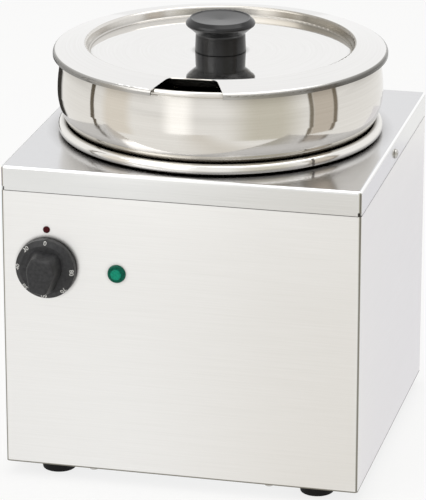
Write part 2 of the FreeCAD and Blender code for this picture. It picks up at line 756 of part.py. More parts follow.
def make_heater():
    stud_r = size("stud_r")
    bore = stud_r + size("stud_fit")
    plate = new_piece("heater_plate")
    turned(plate, [(bore, plate_low), (heater_r, plate_low, soft), (heater_r, well_low, soft),
                   (bore, well_low)])
    ring = new_piece("heater_element")
    section = sketch(ring, "Section", "XZ_Plane")
    draw_circle(section, ring_r, tube_z, tube_r)
    revolve(section, 360 - size("heater_gap_deg"))
    legs = sketch(ring, "Legs", lift=tube_z)
    for turn in (0, 1):
        draw_circle(legs, *leg_place(turn), tube_r * 0.75)
    down = pad(legs, size("heater_leg"))
    down.Reversed = True
    place(ring, degrees=90)
    clamp = new_piece("heater_clamp")
    plan = sketch(clamp, "Plan", lift=clamp_top)
    reach, wide = ring_r + tube_r * 2, size("clamp_width") / 2
    draw_plate(plan, -reach, -wide, reach, wide, size("clamp_corner"))
    draw_circle(plan, 0, 0, bore)
    pad(plan, size("clamp_sheet")).Reversed = True
    stud = new_piece("heater_stud")
    turned(stud, [(0, stud_low), (stud_r, stud_low, soft), (stud_r, well_low), (0, well_low)])
    nut = new_piece("heater_nut")
    make_nut(nut, stud_r * NUT_REACH, bore, stud_r * NUT_HEIGHT)
    place(nut, z=clamp_top - size("clamp_sheet") - stud_r * NUT_HEIGHT)
    cutout = new_piece("safety_cutout")
    wide = size("cutout_r")
    tall = size("cutout_height")
    cap_r, cap_z = wide * 0.7, tall * 0.6
    turned(cutout, [(0, 0), (cap_r, 0, soft), (cap_r, cap_z), (wide, cap_z, soft), (wide, tall, soft),
                    (0, tall)])
    place(cutout, y=-size("cutout_offset"), z=plate_low - tall)


def leg_place(turn):
    """The element's two ends, one at the start and one at the end of its bend."""
    if turn == 0:
        return ring_r, as_size(0)
    angle = Size(math.radians(float(sheet.get("heater_gap_deg"))), "(Sizes.heater_gap_deg * 1 deg)")
    return (ring_r * Size(math.cos(angle.value), f"cos{angle.formula}"),
            ring_r * Size(-math.sin(angle.value), f"(0 - sin{angle.formula})"))


# Thermostat: the body sits behind the front panel with its bushing through it, the
# shaft turns in the bushing and carries the dial, and the capillary runs back to a
# bulb that two clips hold against the well.
panel_back = t - half_d
body_back = panel_back + size("body_depth")
shaft_r = size("shaft_r")
dial_face = -half_d - size("dial_gap")


def make_thermostat():
    body = new_piece("thermostat_body")
    case = sketch(body, "Case", "XZ_Plane", -panel_back)
    wide, tall = size("body_width") / 2, size("body_height") / 2
    draw_plate(case, dial_x - wide, dial_z - tall, dial_x + wide, dial_z + tall, size("body_corner"))
    shell = pad(case, size("body_depth"))
    shell.Reversed = True
    bushing = sketch(body, "Bushing", "XZ_Plane", -panel_back)
    draw_circle(bushing, dial_x, dial_z, size("bushing_r"))
    pad(bushing, t + size("dial_gap") / 2)
    bore = sketch(body, "Bore", "XZ_Plane", half_d + size("dial_gap"))
    draw_circle(bore, dial_x, dial_z, shaft_r + size("shaft_fit"))
    pocket(bore, size("dial_gap") + t + size("shaft_in_body") + size("shaft_fit"))
    threads = sketch(body, "Threads", "XZ_Plane", -panel_back)
    for side in (-fixing, fixing):
        draw_circle(threads, dial_x + side, dial_z, size("fixing_r") + size("hole_fit"))
    pocket(threads, size("screw_length"))
    screws = []
    for side in (-fixing, fixing):
        screw = new_body("thermostat_screw_body")
        make_screw(screw, size("fixing_r"), size("screw_length") - t, size("fixing_r") * 1.7,
                   size("dial_gap") * 0.6)
        place(screw, dial_x + side, -half_d, dial_z, **FACE_FRONT)
        screws.append(screw)
    new_group("thermostat_screws", screws)
    shaft = new_piece("thermostat_shaft")
    long_in, long_out = size("dial_gap") + t + size("shaft_in_body"), size("shaft_in_dial")
    turned(shaft, [(0, -long_in), (shaft_r, -long_in, soft), (shaft_r, long_out, soft), (0, long_out)])
    place(shaft, dial_x, dial_face, dial_z, **FACE_FRONT)


def make_dial():
    body = new_piece("thermostat_dial")
    r, skirt, bevel = size("dial_r"), size("dial_skirt"), size("dial_bevel")
    bore, deep = shaft_r + size("shaft_fit"), size("shaft_in_dial")
    under = skirt - size("dial_web")
    turned(body, [(bore, 0), (r, 0, soft), (r - size("dial_draft"), skirt - bevel, soft),
                  (r - size("dial_bevel_width"), skirt, soft), (0, skirt), (0, under), (bore, under)])
    grip = sketch(body, "Grip", lift=skirt - bevel)
    turned_by = FreeCAD.Rotation(Vector(0, 0, 1), -float(sheet.get("grip_turn_deg")))
    grip.sketch.AttachmentOffset = FreeCAD.Placement(grip.sketch.AttachmentOffset.Base, turned_by)
    wide, shoulder_x, tail = size("grip_wide"), size("grip_shoulder"), size("grip_tail")
    up, down, side_z = size("grip_up"), size("grip_down"), size("grip_wide_up")
    turn, side_turn = size("grip_bend"), size("grip_wide_bend")
    draw(grip, [(-tail, -down, turn), (tail, -down, turn), (wide, side_z, side_turn), (shoulder_x, up, turn),
                (0, up - size("grip_dip"), size("grip_dip_bend")), (-shoulder_x, up, turn),
                (-wide, side_z, side_turn)])
    raised = pad(grip, size("grip_height") + bevel)
    bind(raised, "TaperAngle", -size("grip_taper_deg"))
    doc.recompute()
    fillet(raised, level_edges(raised, skirt + size("grip_height")), size("grip_round"))
    shaft_hole = sketch(body, "ShaftHole")
    draw_circle(shaft_hole, 0, 0, bore)
    pocket(shaft_hole, deep + size("shaft_fit"), forward=True)
    place(body, dial_x, dial_face, dial_z, **FACE_FRONT)


def make_sensor():
    clip_r = size("bulb_r") + size("clip_sheet")
    out = well_out + clip_r
    bulb_x = dial_x + size("capillary_x")
    bulb_y = -root(out * out - bulb_x * bulb_x)
    turn = size("capillary_bend")
    exit_z = dial_z + size("capillary_rise")
    bulb_top = exit_z - turn - size("bulb_lead")
    bulb_length = bulb_top - well_floor - size("bulb_up")
    body = new_piece("capillary_sensor")
    route = sketch(body, "Route", "YZ_Plane", bulb_x)
    run = bulb_y - turn
    spots = [Vector(p[0].value, p[1].value, 0) for p in
             ((body_back, exit_z), (run, exit_z), (bulb_y, exit_z - turn), (bulb_y, bulb_top))]
    first = route.add(Part.LineSegment(spots[0], spots[1]))
    arc = add_arc(route, Vector(run.value, (exit_z - turn).value, 0), spots[1], spots[2], False)
    last = route.add(Part.LineSegment(spots[2], spots[3]))
    route.rule("Tangent", first, 2, arc[0], arc[1])
    route.rule("Tangent", arc[0], arc[2], last, 1)
    route.pin_point((first, 1), body_back, exit_z)
    route.pin_point((arc[0], 3), run, exit_z - turn)
    route.pin_point((last, 2), bulb_y, bulb_top)
    section = sketch(body, "Section", "XZ_Plane", -body_back)
    draw_circle(section, bulb_x, exit_z, size("capillary_r"))
    tube = body.newObject("PartDesign::AdditivePipe", "Capillary")
    tube.Profile = section.settle()
    tube.Spine = route.settle()
    doc.recompute()
    bulb = sketch(body, "Bulb", lift=bulb_top)
    draw_circle(bulb, bulb_x, bulb_y, size("bulb_r"))
    pad(bulb, bulb_length).Reversed = True
    clips = []
    for share in (0.25, 0.75):
        clip = new_body("bulb_clip_body")
        plan = sketch(clip, "Plan")
        draw_circle(plan, 0, 0, clip_r)
        draw_circle(plan, 0, 0, size("bulb_r"))
        pad(plan, size("clip_height"))
        place(clip, bulb_x, bulb_y, bulb_top - bulb_length * share - size("clip_height") / 2)
        clips.append(clip)
    new_group("bulb_clips", clips)


# Front marks: the pilot lamp with its barrel and spring clip, and the index pip.

def make_lamp():
    barrel, flange, dome = size("lamp_barrel_r"), size("lamp_flange"), size("lamp_dome")
    lens = new_piece("lamp_lens")
    r, crown = size("lamp_r"), size("lamp_dome_r")
    draft = size("lamp_draft")
    turned(lens, [(0, 0), (r, 0), (r - draft, flange, soft), (crown, flange),
                  (crown - draft / 2, flange + dome, size("lamp_dome_edge")), (0, flange + dome)])
    place(lens, lamp_x, -half_d, lamp_z, **FACE_FRONT)
    body = new_piece("lamp_barrel")
    deep = size("lamp_depth")
    turned(body, [(0, -deep), (barrel * 0.8, -deep, soft), (barrel, -deep * 0.6), (barrel, 0), (0, 0)])
    place(body, lamp_x, -half_d, lamp_z, **FACE_FRONT)
    clip = new_piece("lamp_clip")
    clip_r, clip_low = size("lamp_clip_r"), -t - size("lamp_clip")
    turned(clip, [(barrel, clip_low), (clip_r, clip_low), (clip_r, -t), (barrel, -t)])
    place(clip, lamp_x, -half_d, lamp_z, **FACE_FRONT)
    pip = new_piece("index_pip")
    r, stem, tall = size("pip_r"), size("pip_stem_r"), size("pip_height")
    turned(pip, [(0, -t * 2), (stem, -t * 2, soft), (stem, 0), (r, 0), (r, tall, tall * 0.8), (0, tall)])
    place(pip, dial_x, -half_d, pip_z, **FACE_FRONT)


# Supply: a gland through the rear panel with its locknut, and a terminal block with
# an earth screw on the base plate.

def make_supply():
    thread, bore, hexagon = size("gland_thread_r"), size("gland_bore_r"), size("gland_hex_r")
    flange, cap, cap_r, nut_height = (size(f"gland_{name}") for name in ("flange", "cap", "cap_r", "nut"))
    gland = new_piece("cable_gland")
    inside = t + nut_height + size("gland_spare")
    nose = bore + size("gland_nose")
    turned(gland, [(bore, -inside), (thread, -inside, soft), (thread, 0), (cap_r, 0),
                   (cap_r, flange + cap / 2), (nose, flange + cap, size("gland_nose_edge")),
                   (bore, flange + cap)])
    collar = sketch(gland, "Collar")
    draw(collar, hex_corners(hexagon, soft))
    draw_circle(collar, 0, 0, bore)
    pad(collar, flange)
    place(gland, gland_x, half_d, gland_z, **FACE_REAR)
    nut = new_piece("gland_locknut")
    make_nut(nut, hexagon, thread, nut_height)
    place(nut, gland_x, half_d - t, gland_z, **FACE_FRONT)
    block = new_piece("terminal_block")
    long, wide, tall = (size(f"block_{name}") for name in ("length", "width", "height"))
    plan = sketch(block, "Plan", lift=floor_top)
    draw_plate(plan, -long / 2, block_y - wide / 2, long / 2, block_y + wide / 2,
               size("block_corner"))
    pad(plan, tall)
    wells = sketch(block, "Wells", lift=floor_top + tall)
    for i in (-1, 0, 1):
        for side in (-1, 1):
            draw_circle(wells, long * i / 3, block_y + wide * side / 4, size("block_well_r"))
    pocket(wells, tall / 2)
    earth = new_piece("earth_screw")
    make_screw(earth, size("screw_r"), size("screw_length"), size("screw_head_r") * LARGE_HEAD, head * LARGE_HEAD)
    place(earth, earth_x, block_y, floor_top)


make_wrap()
make_rear_panel()
make_base_plate()
make_top_cover()
make_feet()
make_well()
make_pot()
make_lid()
make_lid_knob()
make_dial()
make_thermostat()
make_sensor()
make_lamp()
make_heater()
make_supply()
make_fasteners()
doc.recompute()

failed = [o.Label for o in doc.Objects if {"Invalid", "Error"} & set(o.State)]
failed += [p.Label for p in pieces if p.Shape.isNull() or not p.Shape.isValid()]
if failed:
    raise RuntimeError(f"not built: {failed}")

os.makedirs("parts", exist_ok=True)
for piece in pieces:
    piece.Shape.exportStep(f"parts/{piece.Label}.step")
    print(f"{piece.Label}: {len(piece.Shape.Solids)} solids, {piece.Shape.Volume:.0f} mm3")
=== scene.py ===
# %% [markdown]
# # A stainless soup kettle
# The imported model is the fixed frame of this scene: every part already stands where it
# belongs, in metres. This script dresses it. It gives each part its real finish, adds what is
# too fine for the solids, such as the numbers on the dial and the cross recesses of the
# screws, and then lights the kettle as a product photographer would.

# %% Load the frame
import math

import bmesh
import bpy
from mathutils import Matrix, Vector


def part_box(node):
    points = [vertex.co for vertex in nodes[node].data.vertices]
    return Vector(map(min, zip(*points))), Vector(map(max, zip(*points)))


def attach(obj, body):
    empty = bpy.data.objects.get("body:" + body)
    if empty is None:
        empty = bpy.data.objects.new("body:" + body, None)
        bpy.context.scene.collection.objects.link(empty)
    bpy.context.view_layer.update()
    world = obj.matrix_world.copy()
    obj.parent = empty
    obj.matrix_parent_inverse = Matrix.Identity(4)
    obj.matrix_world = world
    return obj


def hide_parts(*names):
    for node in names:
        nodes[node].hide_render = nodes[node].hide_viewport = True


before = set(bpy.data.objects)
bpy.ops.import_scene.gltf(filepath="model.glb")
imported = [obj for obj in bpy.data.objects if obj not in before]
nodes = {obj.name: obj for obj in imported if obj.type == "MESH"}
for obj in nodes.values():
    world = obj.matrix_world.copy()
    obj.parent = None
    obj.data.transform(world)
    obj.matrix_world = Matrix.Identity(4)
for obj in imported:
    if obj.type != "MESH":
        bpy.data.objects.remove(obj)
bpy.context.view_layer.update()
MM = 0.001

# %% [markdown]
# ## The camera
# The photograph was taken from the front right, about 20 degrees above the kettle, with a
# long lens. A camera is a place, three axes and a focal length. Here they were solved from
# the corners of the housing, so they are written as numbers and not aimed by eye.

# %% Camera
AIM_HEIGHT = 127.7 * MM
AZIMUTH, ELEVATION = math.radians(13.422), math.radians(19.611)
DISTANCE = 2634.4 * MM
YAW, PITCH = math.radians(13.553), math.radians(19.241)
LENS, SENSOR = 246.05, 36


def facing(azimuth, elevation):
    """The direction from the kettle to a viewer. Azimuth 0 is the front, and turns to the right."""
    flat = math.cos(elevation)
    return Vector((math.sin(azimuth) * flat, -math.cos(azimuth) * flat, math.sin(elevation)))


scene = bpy.context.scene
camera = bpy.data.objects.new("camera", bpy.data.cameras.new("camera"))
scene.collection.objects.link(camera)
back = facing(YAW, PITCH)
right = Vector((math.cos(YAW), math.sin(YAW), 0))
camera.matrix_world = Matrix.Translation(
    Vector((0, 0, AIM_HEIGHT)) + facing(AZIMUTH, ELEVATION) * DISTANCE
) @ Matrix((right, back.cross(right), back)).transposed().to_4x4()
camera.data.lens = LENS
camera.data.sensor_width = SENSOR
scene.camera = camera
scene.view_settings.view_transform = "Standard"
print("camera at", [round(v, 3) for v in camera.location])

# %% [markdown]
# ## Helpers for materials
# A material is a small graph of nodes. One function adds any node, sets its properties and
# fills its sockets, with a value, with a link from another node, or with a colour written as
# an sRGB hex code. Shaders count in linear light, so such a code is turned to linear first.

# %% Helpers for materials


def linear(hex_code):
    """sRGB hex to the linear colour that a shader takes."""
    channels = [int(hex_code[i:i + 2], 16) / 255 for i in (1, 3, 5)]
    return [c / 12.92 if c <= 0.04045 else ((c + 0.055) / 1.055) ** 2.4 for c in channels] + [1.0]


def add_node(tree, kind, links=None, **settings):
    """Adds a node, sets its properties, and fills its sockets with values, hex codes or links."""
    made = tree.nodes.new(kind)
    for name, value in settings.items():
        setattr(made, name, value)
    for socket, source in (links or {}).items():
        if isinstance(source, bpy.types.NodeSocket):
            tree.links.new(source, made.inputs[socket])
        else:
            made.inputs[socket].default_value = linear(source) if isinstance(source, str) else source
    return made


def new_material(name):
    material = bpy.data.materials.new(name)
    material.use_nodes = True
    material.node_tree.nodes.clear()
    return material, material.node_tree


print("white is", [round(c, 3) for c in linear("#FFFFFF")])

# %% [markdown]
# ## The studio
# Polished steel has no colour of its own: it shows the room. So the room is designed first.
# The floor is white paper. Most of what the camera sees of it is an even white, and the rest is
# plain matt paper, which keeps the soft shadow under the kettle. The surround lights the kettle
# gently from all sides, and a mirror sees it as plain white.

# %% Floor and surround
FLOOR_HALF = 15.0
SHADOW_SHARE = 0.2
FILL_LIGHT = 0.55


def seen_directly(tree):
    """1 for a ray from the camera, a mirror or glass, and 0 for light that falls on the kettle."""
    path = add_node(tree, "ShaderNodeLightPath")
    both = add_node(tree, "ShaderNodeMath", {
        0: path.outputs["Is Camera Ray"], 1: path.outputs["Is Glossy Ray"]}, operation="MAXIMUM")
    return add_node(tree, "ShaderNodeMath", {
        0: both.outputs[0], 1: path.outputs["Is Transmission Ray"]}, operation="MAXIMUM").outputs[0]


def seamless_paper():
    material, tree = new_material("seamless_white_paper")
    share = add_node(tree, "ShaderNodeMath", {
        0: seen_directly(tree), 1: 1 - SHADOW_SHARE}, operation="MULTIPLY")
    matt = add_node(tree, "ShaderNodeBsdfDiffuse", {"Color": "#F6F5F2"})
    glow = add_node(tree, "ShaderNodeEmission", {"Color": "#FFFFFF", "Strength": 1.0})
    paper = add_node(tree, "ShaderNodeMixShader", {
        0: share.outputs[0], 1: matt.outputs[0], 2: glow.outputs[0]})
    add_node(tree, "ShaderNodeOutputMaterial", {"Surface": paper.outputs[0]})
    return material


h = FLOOR_HALF
mesh = bpy.data.meshes.new("studio_floor")
mesh.from_pydata([(-h, -h, 0), (h, -h, 0), (h, h, 0), (-h, h, 0)], [], [(0, 1, 2, 3)])
mesh.materials.append(seamless_paper())
floor = bpy.data.objects.new("studio_floor", mesh)
scene.collection.objects.link(floor)

world = bpy.data.worlds.new("studio")
scene.world = world
world.use_nodes = True
world.node_tree.nodes.clear()
strength = add_node(world.node_tree, "ShaderNodeMapRange", {
    "Value": seen_directly(world.node_tree), "To Min": FILL_LIGHT, "To Max": 1.0})
sky = add_node(world.node_tree, "ShaderNodeBackground", {
    "Color": "#FFFFFF", "Strength": strength.outputs[0]})
add_node(world.node_tree, "ShaderNodeOutputWorld", {"Surface": sky.outputs[0]})
print("floor", 2 * FLOOR_HALF, "m wide")

# %% [markdown]
# Two soft boxes stand in for the studio's lamps: a key from the front left, and a broad one
# overhead that draws a bright line along each bent edge. Both are large and gentle, because
# the picture of a small lamp would burn out on a polished lid.

# %% Soft boxes
MIDDLE = Vector((0, 0, 0.2))


def soft_box(name, place, width, power):
    """A square lamp that faces the middle of the kettle. Metres and watts."""
    lamp = bpy.data.lights.new(name, "AREA")
    lamp.shape = "RECTANGLE"
    lamp.size, lamp.size_y, lamp.energy = width, width, power
    made = bpy.data.objects.new(name, lamp)
    made.location = place
    made.rotation_euler = (MIDDLE - Vector(place)).to_track_quat("-Z", "Y").to_euler()
    scene.collection.objects.link(made)


soft_box("key", (-1.6, -1.8, 1.9), 2.4, 26)
soft_box("top", (0.2, 0.3, 2.2), 2.0, 16)

# %% [markdown]
# A card is a sheet of grey paper that stands out of the picture and is seen only in the metal.
# It draws the dark bands that tell the eye that the pot is round. The pot's wall is upright, so
# a ray from the lens leaves it as steeply downwards as it came. The cards therefore stand close
# round the kettle, like a tent, and a band's place on the pot gives the azimuth of its card.
# Their edges fade, as those of a card out of focus do.

# %% What a card is
CARD_STEPS = 16
MIDDLE_SHARE = 0.5


def card_paper(name, colour, strength, fade):
    """Paper that fades out over a share of its width at either edge."""
    material, tree = new_material(name)
    across = add_node(tree, "ShaderNodeUVMap").outputs[0]
    share = add_node(tree, "ShaderNodeSeparateXYZ", {0: across}).outputs["X"]
    inward = add_node(tree, "ShaderNodeMath", {0: share, 1: MIDDLE_SHARE}, operation="PINGPONG")
    solid = add_node(tree, "ShaderNodeMapRange", {
        "Value": inward.outputs[0], "From Max": fade}, interpolation_type="SMOOTHSTEP")
    clear = add_node(tree, "ShaderNodeBsdfTransparent")
    paper = add_node(tree, "ShaderNodeEmission", {"Color": colour, "Strength": strength})
    faded = add_node(tree, "ShaderNodeMixShader", {
        0: solid.outputs[0], 1: clear.outputs[0], 2: paper.outputs[0]})
    add_node(tree, "ShaderNodeOutputMaterial", {"Surface": faded.outputs[0]})
    return material


def card(name, azimuths, near, far, colour, strength=1.0, fade=0.15, centre=(0, 0)):
    """A bent sheet between two azimuths in degrees and two (radius, height) pairs in metres."""
    mesh = bpy.data.meshes.new(name)
    points, shares = [], []
    for i in range(CARD_STEPS + 1):
        share = i / CARD_STEPS
        way = facing(math.radians(azimuths[0] + (azimuths[1] - azimuths[0]) * share), 0)
        for radius, height in (near, far):
            points.append((centre[0] + way.x * radius, centre[1] + way.y * radius, height))
            shares.append(share)
    strips = [(2 * i, 2 * i + 2, 2 * i + 3, 2 * i + 1) for i in range(CARD_STEPS)]
    mesh.from_pydata(points, [], strips)
    layer = mesh.uv_layers.new(name="across")
    for loop in mesh.loops:
        layer.data[loop.index].uv = (shares[loop.vertex_index], 0)
    mesh.materials.append(card_paper(name, colour, strength, fade))
    made = bpy.data.objects.new(name, mesh)
    scene.collection.objects.link(made)
    made.visible_camera = made.visible_shadow = False
    made.visible_diffuse = made.visible_transmission = False


print("a card has", CARD_STEPS, "strips")

# %% [markdown]
# These cards make the tent. The strip light is a card that is brighter than the room, and gives
# the broad highlight left of the pot's middle. The dark card at the rear left ends low, so that
# the pot's limb sees it and the lid does not.

# %% The tent
TENT = 0.42
LOW, HIGH = (TENT, 0.1), (TENT, 0.5)
DARK_TOP, STRIP_FOOT = (TENT, 0.23), (TENT, 0.155)

card("card_left_warm", (-68, -40), LOW, HIGH, "#F0EBE3", fade=0.3)
card("card_left_line", (-76.5, -72), LOW, HIGH, "#6E675C")
card("card_rear_left", (-165, -116), LOW, DARK_TOP, "#3A3835")
card("strip_light", (-24, 0), STRIP_FOOT, HIGH, "#FFFFFF", strength=1.35, fade=0.4)
card("card_front_right", (13, 71), LOW, HIGH, "#D8D5CA", fade=0.4)
card("card_right_edge_near", (68, 72.5), LOW, HIGH, "#8A8377", fade=0.3)
card("card_right_brown", (71, 88), LOW, HIGH, "#D0C8BE", fade=0.1)
card("card_right_edge_far", (86, 91.5), LOW, HIGH, "#857C6F", fade=0.3)

# %% [markdown]
# Two sheets lie on the floor, for the flat sides of the housing. The front panel mirrors the
# floor before it in one direction only, so its sheet is a narrow fan whose centre lies far
# behind the kettle. The right side mirrors the floor that runs back beside it.

# %% Paper on the floor
PAPER = 0.0008
NEAR_EDGE = 0.02
FAN_START, FRONT_REACH, SIDE_REACH = 5.0, 0.8, 0.9
MIRROR_AZIMUTH = -13.4

wrap_low, wrap_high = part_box("housing_wrap")
front_right = (wrap_high.x, wrap_low.y)
away = facing(math.radians(MIRROR_AZIMUTH + 180), 0) * FAN_START
fan_centre = (front_right[0] + away.x, front_right[1] + away.y)
card("paper_front", (-15.6, -11.2), (FAN_START + NEAR_EDGE, PAPER),
     (FAN_START + FRONT_REACH, PAPER), "#EAE7E2", fade=0.5, centre=fan_centre)
card("paper_right", (156, 183), (NEAR_EDGE, PAPER), (SIDE_REACH, PAPER), "#EBEAEE",
     fade=0.05, centre=front_right)

# %% [markdown]
# ## Finishes
# Each part gets the finish that its real material has. Most of them share one recipe: two
# close colours mottled by noise at a real grain size, a roughness that wanders with it, and a
# slight bump. The sizes of the noise are in millimetres of the real surface.

# %% A mottled surface
GRAIN_DETAIL = 3.0


def mottled(name, light, dark, grain_mm, rough, bump_mm=0.0, **sockets):
    material, tree = new_material(name)
    place = add_node(tree, "ShaderNodeTexCoord").outputs["Object"]
    grain = add_node(tree, "ShaderNodeTexNoise", {
        "Vector": place, "Scale": 1 / (grain_mm * MM), "Detail": GRAIN_DETAIL}).outputs["Fac"]
    colour = add_node(tree, "ShaderNodeMix", {0: grain, 6: dark, 7: light}, data_type="RGBA")
    gloss = add_node(tree, "ShaderNodeMapRange", {
        "Value": grain, "To Min": rough[0], "To Max": rough[1]})
    links = {"Base Color": colour.outputs[2], "Roughness": gloss.outputs[0], **sockets}
    if bump_mm:
        links["Normal"] = add_node(tree, "ShaderNodeBump", {
            "Height": grain, "Distance": bump_mm * MM, "Strength": 1.0}).outputs[0]
    shader = add_node(tree, "ShaderNodeBsdfPrincipled", links)
    add_node(tree, "ShaderNodeOutputMaterial", {"Surface": shader.outputs[0]})
    return material


# Phenolic moulding: black and rather glossy, with the fine orange peel of its mould.
black_phenolic = mottled("black_phenolic_moulding", "#171718", "#0F0F10", 1.2, (0.16, 0.26), 0.02,
                         **{"Specular IOR Level": 0.42})
# The dial's moulding: the same black, worn by hands to a duller, greyer grain.
worn_phenolic = mottled("worn_phenolic_dial", "#434344", "#161617", 2.4, (0.3, 0.5), 0.1,
                        **{"Specular IOR Level": 0.3})
# Moulded rubber: as black as the phenolic and much duller, with a soft bloom.
foot_rubber = mottled("moulded_rubber", "#1C1B1B", "#111111", 2.5, (0.6, 0.75), 0.05,
                      **{"Specular IOR Level": 0.2})
# Moulded nylon: a mid grey with the dull grain of a textured mould.
grey_nylon = mottled("grey_moulded_nylon", "#56585A", "#47494B", 1.5, (0.42, 0.55), 0.02)
# Cast acrylic: a saturated dark red under a smooth skin.
red_acrylic = mottled("dark_red_acrylic", "#520812", "#34060C", 0.8, (0.2, 0.3),
                      **{"Specular IOR Level": 0.12})
# Printing ink: a chalky white, thinner in places.
white_ink = mottled("white_printing_ink", "#F1F0EC", "#D5D4CF", 0.5, (0.5, 0.6))
# Steatite: an ivory ceramic under a thin glaze.
glazed_steatite = mottled("glazed_steatite", "#EDE8DC", "#E2DCCE", 3, (0.3, 0.42))
print("plastics, rubber, ink and ceramic done, materials:", len(bpy.data.materials))

# %% [markdown]
# The plain metals follow the same recipe, with the metallic socket at 1. Their gloss comes
# from how they were made: plated, tumbled, rolled, drawn, turned or ground.

# %% Plain metals
# Zinc-plated sheet: a cool grey with cloudy spangle.
zinc_sheet = mottled("zinc_plated_sheet", "#C4C8CA", "#AEB3B6", 6, (0.32, 0.5), Metallic=1.0)
# Stainless screws: bright, slightly tumbled.
bright_screw = mottled("bright_stainless_screw", "#D2D0CC", "#B4B2AE", 1.5, (0.2, 0.3), 0.01,
                       Metallic=1.0)
# Rolled aluminium: paler than steel and softly clouded.
rolled_aluminium = mottled("rolled_aluminium_plate", "#DADBDC", "#C9CACB", 4, (0.3, 0.42),
                           Metallic=1.0)
# Tube element: steel that heat has turned brown-grey.
element_sheath = mottled("heat_browned_element_sheath", "#5A5552", "#3D3A3C", 5, (0.4, 0.55),
                         Metallic=1.0)
# Drawn copper: warm, with a dulled bloom.
drawn_copper = mottled("drawn_copper_tube", "#D08C62", "#B87650", 3, (0.25, 0.38), Metallic=1.0)
# Turned brass: yellow, with the soft gloss of the lathe.
turned_brass = mottled("turned_brass", "#D6BC6E", "#C2A658", 2, (0.2, 0.32), Metallic=1.0)
# A weld that was ground and pickled: grey and pitted.
ground_weld = mottled("ground_weld", "#8E8984", "#5C5753", 0.8, (0.3, 0.5), 0.06, Metallic=1.0)
print("plain metals done, materials:", len(bpy.data.materials))

# %% [markdown]
# ## Sheet metal
# Where two parts meet closely, each mirrors only the other's shaded side, and the metal looks
# dark. A sharp mirror would need many rays to find that out, so it is helped: ambient
# occlusion says how open a spot is, and closed spots get a darker colour.

# %% Dark creases
CREASE_SAMPLES = 8


def darker_in_creases(tree, colour, crease, reach_mm):
    """The colour, turned to the hex code crease where another surface is within reach."""
    openness = add_node(tree, "ShaderNodeAmbientOcclusion", {"Distance": reach_mm * MM},
                        samples=CREASE_SAMPLES).outputs["AO"]
    return add_node(tree, "ShaderNodeMix", {0: openness, 6: crease, 7: colour},
                    data_type="RGBA").outputs[2]


print("creases use", CREASE_SAMPLES, "samples")

# %% [markdown]
# The surface's own direction and height tell where light and shade are painted on the sheet.
# An upright bend, which faces two ways at once, is painted dark grey as shade. The shoulder
# between the top and a side is painted white as a highlight. The lower edge gets a thin line of
# painted shade, and the lip that stands in the seam behind the cover, which gets no light, is
# painted near black.

# %% Painted highlight and shade on the sheet
EDGE_FADE = 0.5
SHEARED, SEAM, LIP_FADE = 0.7, 0.5, 0.1
BEND_FROM, BEND_FULL = 0.28, 0.46
RUBBED_FROM, RUBBED_FULL = 0.28, 0.45


def sheet_marks(tree, colour, way, height, cut_z, lip_z):
    """way holds the parts of the surface's direction, and the heights are in metres."""
    # Painted shade: a dark grey on upright bends and in a thin line along the lower edge.
    slant = add_node(tree, "ShaderNodeMath", {
        0: way.outputs["X"], 1: way.outputs["Y"]}, operation="MULTIPLY")
    bent = add_node(tree, "ShaderNodeMath", {0: slant.outputs[0]}, operation="ABSOLUTE")
    bend = add_node(tree, "ShaderNodeMapRange", {
        "Value": bent.outputs[0], "From Min": BEND_FROM, "From Max": BEND_FULL})
    sheared = add_node(tree, "ShaderNodeMapRange", {
        "Value": height, "From Min": cut_z + SHEARED * MM,
        "From Max": cut_z + (SHEARED + EDGE_FADE) * MM, "To Min": 1.0, "To Max": 0.0})
    dull = add_node(tree, "ShaderNodeMath", {
        0: bend.outputs[0], 1: sheared.outputs[0]}, operation="MAXIMUM")
    # Painted highlight: white on the shoulder between the top and a side.
    sideways = add_node(tree, "ShaderNodeMath", {0: way.outputs["X"]}, operation="ABSOLUTE")
    shoulder = add_node(tree, "ShaderNodeMath", {
        0: sideways.outputs[0], 1: way.outputs["Z"]}, operation="MULTIPLY")
    rubbed = add_node(tree, "ShaderNodeMapRange", {
        "Value": shoulder.outputs[0], "From Min": RUBBED_FROM, "From Max": RUBBED_FULL})
    # Painted shade: near black on the lip that stands behind the cover.
    lip_foot = lip_z - SEAM * MM
    lip = add_node(tree, "ShaderNodeMapRange", {
        "Value": height, "From Min": lip_foot, "From Max": lip_foot + LIP_FADE * MM})
    for share, mark in ((rubbed, "#FFFFFF"), (dull, "#858279"), (lip, "#2B2927")):
        colour = add_node(tree, "ShaderNodeMix", {0: share.outputs[0], 6: colour, 7: mark},
                          data_type="RGBA").outputs[2]
    return colour


print("sheared edge", SHEARED, "mm, seam", SEAM, "mm")

# %% [markdown]
# Brushed sheet is rolled stainless that a belt has scratched in one direction. The scratches
# are far finer than a pixel, so they are drawn coarser here: streaks about a millimetre apart.
# Noise stretched along one axis gives them, and it moves the colour, the roughness and a bump.
# The cover is brushed finer than the walls, so it mirrors the pot that rises out of it.

# %% Brushed sheet
STREAK_LENGTH, STREAK_PITCH, STREAK_DEPTH = 60, 0.9, 0.004
STREAK_DETAIL, STREAK_GRIT = 3.0, 0.6
SMUDGE = 90
DULLEST = 0.5
LEVEL_FROM, LEVEL_FULL = 0.5, 0.95


